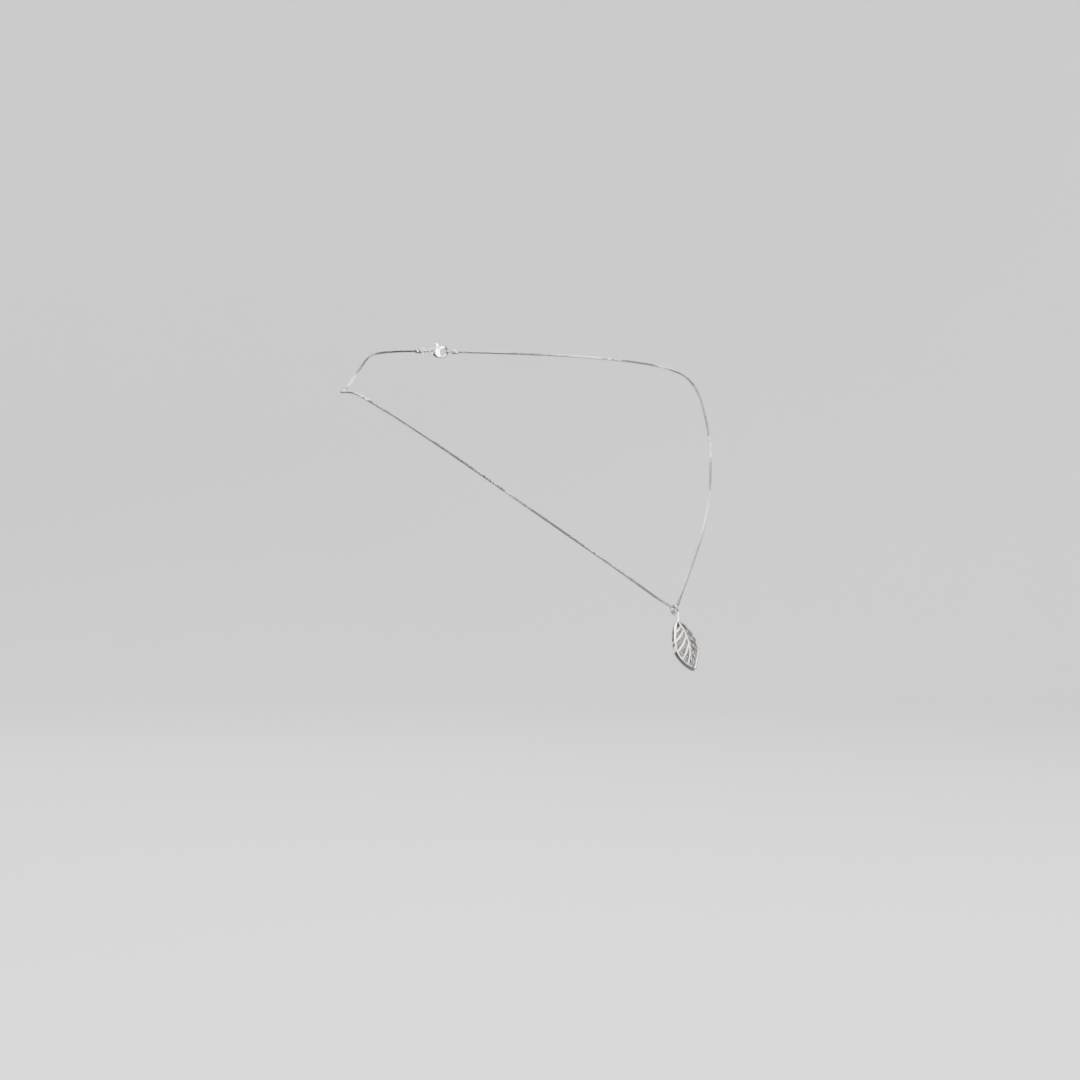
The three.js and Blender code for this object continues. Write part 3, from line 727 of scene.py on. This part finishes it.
def margin_points(lobes, start_across, steps):
    """One side of the leaf from the stem to the tip, lobe by lobe."""
    points = []
    start = leaf_place(0, start_across)
    for down, across, bulge in lobes:
        end = leaf_place(down, across)
        chord = (end - start).normalized()
        outward = Vector((-chord.y, chord.x)) * math.copysign(2 * bulge, start_across)
        points += arc_between(start, (start + end) / 2 + outward, end, steps)
        start = end
    return points


def margin_loop(inset, steps):
    """The whole margin, down the left side and back up the right, moved in by inset."""
    loop = margin_points(LEFT_MARGIN, -LEAF_START, steps)
    loop.append(leaf_place(1, 0))
    loop += reversed(margin_points(RIGHT_MARGIN, LEAF_START, steps))
    moved = []
    for i, point in enumerate(loop):
        along = (loop[(i + 1) % len(loop)] - loop[i - 1]).normalized()
        moved.append(point + Vector((-along.y, along.x)) * inset)
    return moved


midrib_line = [Vector(p.to_2d()) for p in smooth_line(
    [leaf_place(down, across).to_3d() for down, across in MIDRIB], 8)]


def midrib_at(down):
    """The place along the midrib at a share of its own length between its two ends."""
    share = (down - MIDRIB[0][0]) / (MIDRIB[-1][0] - MIDRIB[0][0])
    lengths = [0]
    for a, b in zip(midrib_line, midrib_line[1:]):
        lengths.append(lengths[-1] + (b - a).length)
    goal = min(max(share, 0), 1) * lengths[-1]
    for a, b, reached, after in zip(midrib_line, midrib_line[1:], lengths, lengths[1:]):
        if goal <= after:
            return a.lerp(b, (goal - reached) / (after - reached))
    return midrib_line[-1]


def vein_line(start_down, rim_end):
    """A side vein, which leaves the midrib steeply and turns towards the rim."""
    start = midrib_at(start_down)
    end = leaf_place(*rim_end[:2]).lerp(start, VEIN_SHORT_OF_RIM)
    down_share, across_share = VEIN_TURN
    turn = Vector((start.x + (end.x - start.x) * across_share, start.y + (end.y - start.y) * down_share))
    return [*arc_between(start, turn, end, VEIN_STEPS), end]


left_veins = [vein_line(start, end) for start, end in zip(LEFT_VEIN_STARTS, LEFT_MARGIN)]
right_veins = [vein_line(start, end) for start, end in zip(RIGHT_VEIN_STARTS, RIGHT_MARGIN)]


def ribs_on_lines():
    """Sweeps a filed strip, flat below and round on top, along each line of a curve."""
    tree = node_tree("ribs_on_lines", [
        ("Width", "NodeSocketFloat"), ("Height", "NodeSocketFloat"),
        ("Edge", "NodeSocketFloat"), ("Silver", "NodeSocketMaterial"),
    ])
    nodes, wire = tree.nodes, tree.links.new
    given = nodes["Group Input"].outputs
    upright = nodes.new("GeometryNodeSetCurveNormal")
    upright.mode = "Z_UP"
    section = nodes.new("GeometryNodeCurvePrimitiveQuadrilateral")
    section.mode = "RECTANGLE"
    eased = nodes.new("GeometryNodeFilletCurve")
    eased.mode = "POLY"
    eased.inputs["Count"].default_value = 3
    sweep = nodes.new("GeometryNodeCurveToMesh")
    sweep.inputs["Fill Caps"].default_value = True
    real = nodes.new("GeometryNodeRealizeInstances")
    finish = nodes.new("GeometryNodeSetMaterial")
    wire(given["Geometry"], upright.inputs["Curve"])
    wire(given["Width"], section.inputs["Width"])
    wire(given["Height"], section.inputs["Height"])
    wire(section.outputs["Curve"], eased.inputs["Curve"])
    wire(given["Edge"], eased.inputs["Radius"])
    wire(upright.outputs["Curve"], sweep.inputs["Curve"])
    wire(eased.outputs["Curve"], sweep.inputs["Profile Curve"])
    wire(sweep.outputs["Mesh"], real.inputs["Geometry"])
    wire(real.outputs["Geometry"], finish.inputs["Geometry"])
    wire(given["Silver"], finish.inputs["Material"])
    wire(finish.outputs["Geometry"], nodes["Group Output"].inputs["Geometry"])
    return tree


RIBS = ribs_on_lines()
LEAF_SILVER = silver("leaf_silver", (0.94, 0.925, 0.91), (0.8, 0.77, 0.75), 0.05, 0.22, 1600, 3e-6)


def rib_mesh(name, lines, closed, width, low, high):
    """Ribs of one width along flat lines, standing from low to high."""
    middle = (low + high) / 2
    work = drawn_lines(name, [[(place.x, place.y, middle) for place in row] for row in lines], closed)
    made = grown(work, RIBS, {
        "Width": width,
        "Height": high - low,
        "Edge": min(width, high - low) * EDGE_ROUND,
        "Silver": LEAF_SILVER,
    }, name)
    bpy.data.objects.remove(work)
    return made


rib_sets = [
    rib_mesh("rim", [margin_loop(RIM_WIDTH / 2, LOBE_STEPS)], True, RIM_WIDTH, -RIM_HEIGHT, FILED_OFF),
    rib_mesh("midrib", [midrib_line], False, MIDRIB_WIDTH, -RIM_HEIGHT, -VEIN_DROP + FILED_OFF),
    rib_mesh("side_veins", left_veins + right_veins, False, VEIN_WIDTH, -RIM_HEIGHT, -VEIN_DROP),
]
joined = bmesh.new()
for mesh in rib_sets:
    joined.from_mesh(mesh)
casting = bpy.data.meshes.new("leaf_casting")
joined.to_mesh(casting)
joined.free()
leaf_front = seated(softened(new_object("leaf_casting", casting), 0.055, 4))
finished(leaf_front, "leaf_frame", "pendant", LEAF_SILVER)

# ---------------------------------------------------------------- leaf side wall and back
# A bent silver wall stands under the rim and a closed plate is soldered behind it. Both keep
# the rim's lobes, the plate shows a fine edge past the wall, and inside the hollow they are
# given dark silver as painted shade.

LEAF_DEPTH = 1.3
BACK_THICKNESS = 0.35
GALLERY_INSET = 0.08
GALLERY_WALL = 0.5


def bevelled(name, vertices, faces, width):
    """A solid with its sharp edges eased. It is in millimetres."""
    work = new_object(name, mesh_of(name, vertices, faces))
    ease = work.modifiers.new("ease", "BEVEL")
    ease.width = width
    ease.segments = 3
    ease.limit_method = "ANGLE"
    ease.angle_limit = math.radians(40)
    mesh = bpy.data.meshes.new_from_object(work.evaluated_get(bpy.context.evaluated_depsgraph_get()))
    bpy.data.objects.remove(work)
    mesh.name = name
    for face in mesh.polygons:
        face.use_smooth = True
    return new_object(name, mesh)


# Dark silver: the pierced plate's finish, and painted shade on the faces inside the leaf's hollow.
DARK_SILVER = silver("dark_silver", (0.34, 0.3, 0.285), (0.15, 0.125, 0.118), 0.26, 0.5, 3200, 1.2e-5)


def shade_inside_hollow(piece, is_inside):
    """Paints shade inside the hollow: the faces that lie there get the dark silver. It is in flat
    millimetres.
    """
    piece.data.materials.append(DARK_SILVER)
    for face in piece.data.polygons:
        if is_inside(face):
            face.material_index = 1


outer = margin_loop(GALLERY_INSET, LOBE_STEPS)
inner = margin_loop(GALLERY_INSET + GALLERY_WALL, LOBE_STEPS)
wall_low, wall_high = BACK_THICKNESS - LEAF_DEPTH, -RIM_HEIGHT
wall_sections = [[
    (o.x, o.y, wall_low), (o.x, o.y, wall_high), (i.x, i.y, wall_high), (i.x, i.y, wall_low),
] for o, i in zip(outer, inner)]
gallery = bevelled("leaf_side_wall", *swept(wall_sections, closed=True), 0.03)
middle = margin_loop(GALLERY_INSET + GALLERY_WALL / 2, LOBE_STEPS)
inner_faces = inside_loop(np.array([face.center[:2] for face in gallery.data.polygons]), middle)
finished(gallery, "leaf_gallery", "pendant", BRIGHT_SILVER)
# Painted shade: the wall's faces inside the hollow get the dark silver.
shade_inside_hollow(gallery, lambda face: inner_faces[face.index])
seated(gallery)

left_side = margin_points(LEFT_MARGIN, -LEAF_START, LOBE_STEPS)
right_side = margin_points(RIGHT_MARGIN, LEAF_START, LOBE_STEPS)
BACK_COLUMNS = 14
back_sections = []
for left, right in zip(left_side, right_side):
    row = [left.lerp(right, k / BACK_COLUMNS) for k in range(BACK_COLUMNS + 1)]
    under = [(p.x, p.y, -LEAF_DEPTH) for p in row]
    over = [(p.x, p.y, BACK_THICKNESS - LEAF_DEPTH) for p in reversed(row)]
    back_sections.append(under + over)
back = bevelled("leaf_back_plate", *swept(back_sections, closed=False), 0.07)
finished(back, "leaf_back", "pendant", BRIGHT_SILVER)
# Painted shade: the plate's upper face, inside the hollow, gets the dark silver.
shade_inside_hollow(back, lambda face: face.normal.z > 0.9)
seated(back)

# ---------------------------------------------------------------- stone plate
# The pierced plate that the stones are set in. It is cut under each stone, textured by the
# setter's graver, and keeps the dark that polishing does not reach.

finished(in_metres(tumbled("pierced_plate", "stone_plate", 0.06, 2)), "stone_plate", "pendant", DARK_SILVER)

# ---------------------------------------------------------------- white stones
# Round brilliants of 73 facets, graded from 1.2 down to 0.6 mm, set in the cells between the
# veins. Each is turned a little against the next, so that they do not flash together.

TABLE = 0.56
CROWN = 0.14
GIRDLE = 0.02
PAVILION = 0.41
CROWN_MIDDLE = 0.41
PAVILION_MIDDLE = 0.11
STONE_SEED = 4


def brilliant_mesh():
    """A brilliant one across. Its girdle's middle is at height 0."""
    eighth = math.pi / 4

    def ring(radius, height, count, first):
        return [(radius * math.cos(first + 2 * math.pi * i / count),
                 radius * math.sin(first + 2 * math.pi * i / count), height) for i in range(count)]

    on_plane = math.cos(eighth / 2)
    crown_top = GIRDLE + CROWN
    drop = (CROWN_MIDDLE * on_plane - TABLE / 2) / (0.5 - TABLE / 2)
    rise = 1 - PAVILION_MIDDLE * on_plane / 0.5
    vertices = (
        ring(TABLE / 2, crown_top, 8, 0)
        + ring(CROWN_MIDDLE, crown_top - drop * CROWN, 8, eighth / 2)
        + ring(0.5, GIRDLE, 16, 0)
        + ring(0.5, -GIRDLE, 16, 0)
        + ring(PAVILION_MIDDLE, -GIRDLE - rise * PAVILION, 8, eighth / 2)
        + [(0, 0, -GIRDLE - PAVILION)]
    )
    crown, top, under, base, culet = 8, 16, 32, 48, 56
    faces = [tuple(range(8))]
    for k in range(8):
        after = (k + 1) % 8
        odd, even = 2 * k + 1, (2 * k + 2) % 16
        faces.append((k, after, crown + k))
        faces.append((after, crown + k, top + even, crown + after))
        faces.append((crown + k, top + 2 * k, top + odd))
        faces.append((crown + k, top + odd, top + even))
        faces.append((top + 2 * k, top + odd, under + odd, under + 2 * k))
        faces.append((top + odd, top + even, under + even, under + odd))
        faces.append((base + k, under + 2 * k, under + odd))
        faces.append((base + k, under + odd, under + even))
        faces.append((culet, base + k, under + even, base + after))
    return mesh_of("brilliant", vertices, faces, smooth=False)


def shapes_on_points():
    """Puts a shape on each point, sized by its size attribute and turned at random about Z."""
    tree = node_tree("shapes_on_points", [
        ("Shape", "NodeSocketObject"), ("Most turn", "NodeSocketFloat"), ("Seed", "NodeSocketInt"),
        ("Finish", "NodeSocketMaterial"),
    ])
    nodes, wire = tree.nodes, tree.links.new
    given = nodes["Group Input"].outputs
    size = nodes.new("GeometryNodeInputNamedAttribute")
    size.data_type = "FLOAT"
    size.inputs["Name"].default_value = "size"
    turn = nodes.new("FunctionNodeRandomValue")
    turn.data_type = "FLOAT"
    spin = nodes.new("ShaderNodeCombineXYZ")
    shape = nodes.new("GeometryNodeObjectInfo")
    dots = nodes.new("GeometryNodeMeshToPoints")
    placed = nodes.new("GeometryNodeInstanceOnPoints")
    real = nodes.new("GeometryNodeRealizeInstances")
    finish = nodes.new("GeometryNodeSetMaterial")
    least, most = [s for s in turn.inputs if s.type == "VALUE" and s.enabled]
    least.default_value = 0
    wire(given["Most turn"], most)
    wire(given["Seed"], turn.inputs["Seed"])
    value = next(s for s in turn.outputs if s.type == "VALUE" and s.enabled)
    wire(value, spin.inputs["Z"])
    wire(given["Geometry"], dots.inputs["Mesh"])
    wire(given["Shape"], shape.inputs["Object"])
    wire(dots.outputs["Points"], placed.inputs["Points"])
    wire(shape.outputs["Geometry"], placed.inputs["Instance"])
    wire(size.outputs["Attribute"], placed.inputs["Scale"])
    wire(spin.outputs["Vector"], placed.inputs["Rotation"])
    wire(placed.outputs["Instances"], real.inputs["Geometry"])
    wire(real.outputs["Geometry"], finish.inputs["Geometry"])
    wire(given["Finish"], finish.inputs["Material"])
    wire(finish.outputs["Geometry"], nodes["Group Output"].inputs["Geometry"])
    return tree


ON_POINTS = shapes_on_points()


def strewn(name, places, sizes, shape, most_turn, seed, finish):
    """Copies of a shape at flat places on the leaf, as one plain mesh."""
    dots = bpy.data.meshes.new(name)
    dots.from_pydata([tuple(p) for p in places], [], [])
    attribute = dots.attributes.new("size", "FLOAT", "POINT")
    attribute.data.foreach_set("value", sizes)
    work = new_object(name + "_places", dots)
    shape_object = new_object(name + "_shape", shape)
    made = grown(work, ON_POINTS, {
        "Shape": shape_object, "Most turn": most_turn, "Seed": seed, "Finish": finish,
    }, name)
    bpy.data.objects.remove(work)
    bpy.data.objects.remove(shape_object)
    return new_object(name, made)


def white_stone():
    """Clear white stone with a trace of cool and warm tone from one stone to the next."""
    material = bpy.data.materials.new("white_stone")
    material.use_nodes = True
    nodes, wire = material.node_tree.nodes, material.node_tree.links.new
    shader = nodes["Principled BSDF"]
    shader.inputs["Roughness"].default_value = 0.01
    shader.inputs["IOR"].default_value = 2.15
    shader.inputs["Transmission Weight"].default_value = 1
    where = nodes.new("ShaderNodeTexCoord")
    patches = nodes.new("ShaderNodeTexVoronoi")
    patches.inputs["Scale"].default_value = 700
    tone = nodes.new("ShaderNodeMix")
    tone.data_type = "RGBA"
    tone.inputs["A"].default_value = (0.82, 0.765, 0.735, 1)
    tone.inputs["B"].default_value = (0.77, 0.775, 0.79, 1)
    part = nodes.new("ShaderNodeSeparateColor")
    wire(where.outputs["Object"], patches.inputs["Vector"])
    wire(patches.outputs["Color"], part.inputs["Color"])
    wire(part.outputs["Red"], tone.inputs["Factor"])
    wire(tone.outputs["Result"], shader.inputs["Base Color"])
    return material


WHITE_STONE = white_stone()
row_to_leaf = leaf_to_row.inverted()
stone_nodes = sorted(name for name in frame["nodes"] if name.startswith("stone_") and name[6:].isdigit())
stones = []
for node in stone_nodes:
    corners = [row_to_leaf @ v.co for v in frame["nodes"][node].data.vertices]
    low = Vector([min(c[axis] for c in corners) for axis in range(3)])
    high = Vector([max(c[axis] for c in corners) for axis in range(3)])
    across = high.x - low.x
    girdle = high.z - (GIRDLE + CROWN) * across
    stones.append(((low.x + high.x) / 2, (low.y + high.y) / 2, girdle, across))
stone_places = [stone[:3] for stone in stones]
stone_sizes = [stone[3] for stone in stones]
stone_set = strewn(
    "white_stones", stone_places, stone_sizes, brilliant_mesh(), math.pi / 4, STONE_SEED, WHITE_STONE)
stone_set.data.transform(leaf_to_row)
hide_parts(*stone_nodes)
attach(stone_set, "pendant")

# ---------------------------------------------------------------- setting beads
# Small silver beads, raised from the plate with a graver, fill the room that the stones leave
# and hold their edges. They are bright on top.

BEAD_LARGEST = 0.2
BEAD_SMALLEST = 0.09
BEAD_SPACE = 0.01
BEAD_HEIGHT = -0.42
MOST_BEADS = 420
BEAD_BITE = 0.03
GRID = 0.09
CELL_STEPS = 8
BEAD_SEED = 7


def segments_of(path, closed=False):
    ends = path[1:] + ([path[0]] if closed else [])
    return [(a.x, a.y, b.x, b.y) for a, b in zip(path, ends)]


def clearance(points, segments):
    """The distance from each point to the nearest segment."""
    start = segments[:, :2]
    along = segments[:, 2:] - start
    rel = points[:, None, :] - start[None]
    share = np.clip((rel * along).sum(2) / np.maximum((along * along).sum(1), 1e-12), 0, 1)
    return np.linalg.norm(rel - share[..., None] * along, axis=2).min(1)


def bead_places():
    """Beads of graded size, the roomiest places first, in every cell but the first two."""
    grid = np.mgrid[-LEAF_WIDTH / 2:LEAF_WIDTH / 2:GRID, -LEAF_LENGTH:0:GRID].reshape(2, -1).T
    rim_inside = margin_loop(RIM_WIDTH, CELL_STEPS)
    grid = grid[inside_loop(grid, rim_inside)]
    sides = ((left_veins, LEFT_MARGIN, -LEAF_START), (right_veins, RIGHT_MARGIN, LEAF_START))
    for veins, margin, start in sides:
        first_cell = margin_points(margin, start, CELL_STEPS)[:CELL_STEPS + 1] + veins[0][::-1]
        grid = grid[~inside_loop(grid, first_cell)]
    room = clearance(grid, np.array(segments_of(rim_inside, closed=True)))
    for vein in left_veins + right_veins:
        room = np.minimum(room, clearance(grid, np.array(segments_of(vein))) - VEIN_WIDTH / 2)
    room = np.minimum(room, clearance(grid, np.array(segments_of(midrib_line))) - MIDRIB_WIDTH / 2)
    room += BEAD_BITE
    for x, y, _, across in stones:
        room = np.minimum(room, np.hypot(grid[:, 0] - x, grid[:, 1] - y) - across / 2 + BEAD_BITE)
    places, sizes = [], []
    while len(places) < MOST_BEADS:
        best = int(room.argmax())
        radius = min(room[best], BEAD_LARGEST)
        if radius < BEAD_SMALLEST:
            break
        x, y = (float(v) for v in grid[best])
        places.append((x, y, BEAD_HEIGHT + bend_at(x, -y)))
        sizes.append(float(radius))
        room = np.minimum(room, np.hypot(grid[:, 0] - x, grid[:, 1] - y) - radius - BEAD_SPACE)
    return places, sizes


bead_shape = bmesh.new()
bmesh.ops.create_uvsphere(bead_shape, u_segments=8, v_segments=6, radius=1)
for face in bead_shape.faces:
    face.smooth = True
bead_mesh = bpy.data.meshes.new("bead")
bead_shape.to_mesh(bead_mesh)
bead_shape.free()
BEAD_SILVER = silver("bead_silver", (0.6, 0.56, 0.545), (0.36, 0.325, 0.31), 0.12, 0.34, 2600, 4e-6)
beads = strewn("setting_beads", *bead_places(), bead_mesh, math.pi, BEAD_SEED, BEAD_SILVER)
beads.data.transform(leaf_to_row)
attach(beads, "pendant")

# ---------------------------------------------------------------- floor and light
# A pale paper bowl stands under and round the necklace. Soft panels light it from above, in
# front, beside and behind, and the world round them is dark at eye level.

FLOOR_Z = -0.25
BOWL_FLAT = 1.3
BOWL_CURVE = 0.6
BOWL_TOP = 1.9
BOWL_SIDES = 96
BOWL_STEPS = 12


def pale_paper():
    material = bpy.data.materials.new("pale_paper")
    material.use_nodes = True
    nodes, wire = material.node_tree.nodes, material.node_tree.links.new
    shader = nodes["Principled BSDF"]
    shader.inputs["Roughness"].default_value = 0.9
    where = nodes.new("ShaderNodeTexCoord")
    mottle = nodes.new("ShaderNodeTexNoise")
    mottle.inputs["Scale"].default_value = 3
    tone = nodes.new("ShaderNodeMix")
    tone.data_type = "RGBA"
    tone.inputs["A"].default_value = (0.87, 0.87, 0.865, 1)
    tone.inputs["B"].default_value = (0.9, 0.9, 0.9, 1)
    wire(where.outputs["Object"], mottle.inputs["Vector"])
    wire(mottle.outputs["Fac"], tone.inputs["Factor"])
    wire(tone.outputs["Result"], shader.inputs["Base Color"])
    return material


bowl_profile = [(0, 0), (BOWL_FLAT, 0)]
for step in range(1, BOWL_STEPS + 1):
    angle = math.pi / 2 * step / BOWL_STEPS
    bowl_profile.append((BOWL_FLAT + BOWL_CURVE * math.sin(angle), BOWL_CURVE * (1 - math.cos(angle))))
bowl_profile.append((BOWL_FLAT + BOWL_CURVE, BOWL_TOP))
bowl_rows = []
for turn in range(BOWL_SIDES):
    angle = 2 * math.pi * turn / BOWL_SIDES
    bowl_rows.append([(r * math.cos(angle), r * math.sin(angle), FLOOR_Z + z) for r, z in bowl_profile])
bowl_vertices, bowl_faces = swept(bowl_rows, closed=True)
bowl_faces = [face for face in bowl_faces if abs(face[1] - face[0]) == 1]
bowl = new_object("studio_bowl", mesh_of("studio_bowl", bowl_vertices, bowl_faces))
bowl.data.materials.append(pale_paper())
bowl.visible_glossy = False


def soft_panel(name, place, size, power, colour):
    """A soft rectangular light that faces the necklace. The camera does not see it."""
    light = bpy.data.lights.new(name, "AREA")
    light.shape = "RECTANGLE"
    light.size, light.size_y = size
    light.energy = power
    light.color = colour
    panel = new_object(name, light)
    panel.location = place
    aim = (cad_low + cad_high) / 2 - Vector(place)
    panel.rotation_euler = aim.to_track_quat("-Z", "Y").to_euler()
    panel.visible_camera = False
    return panel


soft_panel("top_panel", (0.1, -0.1, 1.3), (1.2, 1.2), 30, (1, 0.99, 0.98))
soft_panel("left_panel", (0.66, -0.84, 0.9), (0.4, 0.36), 7, (1, 0.985, 0.97))
soft_panel("front_panel", (0.82, -1.2, -0.12), (0.4, 0.5), 9, (1, 0.985, 0.97))
soft_panel("side_panel", (-0.85, 1.0, -0.1), (0.3, 0.6), 2, (1, 0.99, 0.98))
soft_panel("right_panel", (-1.1, -0.2, 0.55), (0.3, 0.7), 5, (0.97, 0.985, 1))
soft_panel("back_panel", (0.3, 1.2, 0.7), (0.9, 0.4), 7, (1, 1, 1))

world = bpy.data.worlds.new("studio")
world.use_nodes = True
bpy.context.scene.world = world
sky_nodes, wire = world.node_tree.nodes, world.node_tree.links.new
sky = sky_nodes["Background"]
sky.inputs["Strength"].default_value = 0.5
direction = sky_nodes.new("ShaderNodeTexCoord")
axes = sky_nodes.new("ShaderNodeSeparateXYZ")
height = sky_nodes.new("ShaderNodeMapRange")
height.inputs["From Min"].default_value = -1
ramp = sky_nodes.new("ShaderNodeValToRGB")
stops = ramp.color_ramp.elements
stops[0].position, stops[0].color = 0.0, (0.6, 0.6, 0.6, 1)
stops[1].position, stops[1].color = 1.0, (0.9, 0.9, 0.9, 1)
for place, grey in ((0.36, 0.3), (0.46, 0.06), (0.6, 0.045), (0.74, 0.3)):
    stop = stops.new(place)
    stop.color = (grey, grey, grey, 1)
wire(direction.outputs["Generated"], axes.inputs["Vector"])
wire(axes.outputs["Z"], height.inputs["Value"])
wire(height.outputs["Result"], ramp.inputs["Fac"])
wire(ramp.outputs["Color"], sky.inputs["Color"])
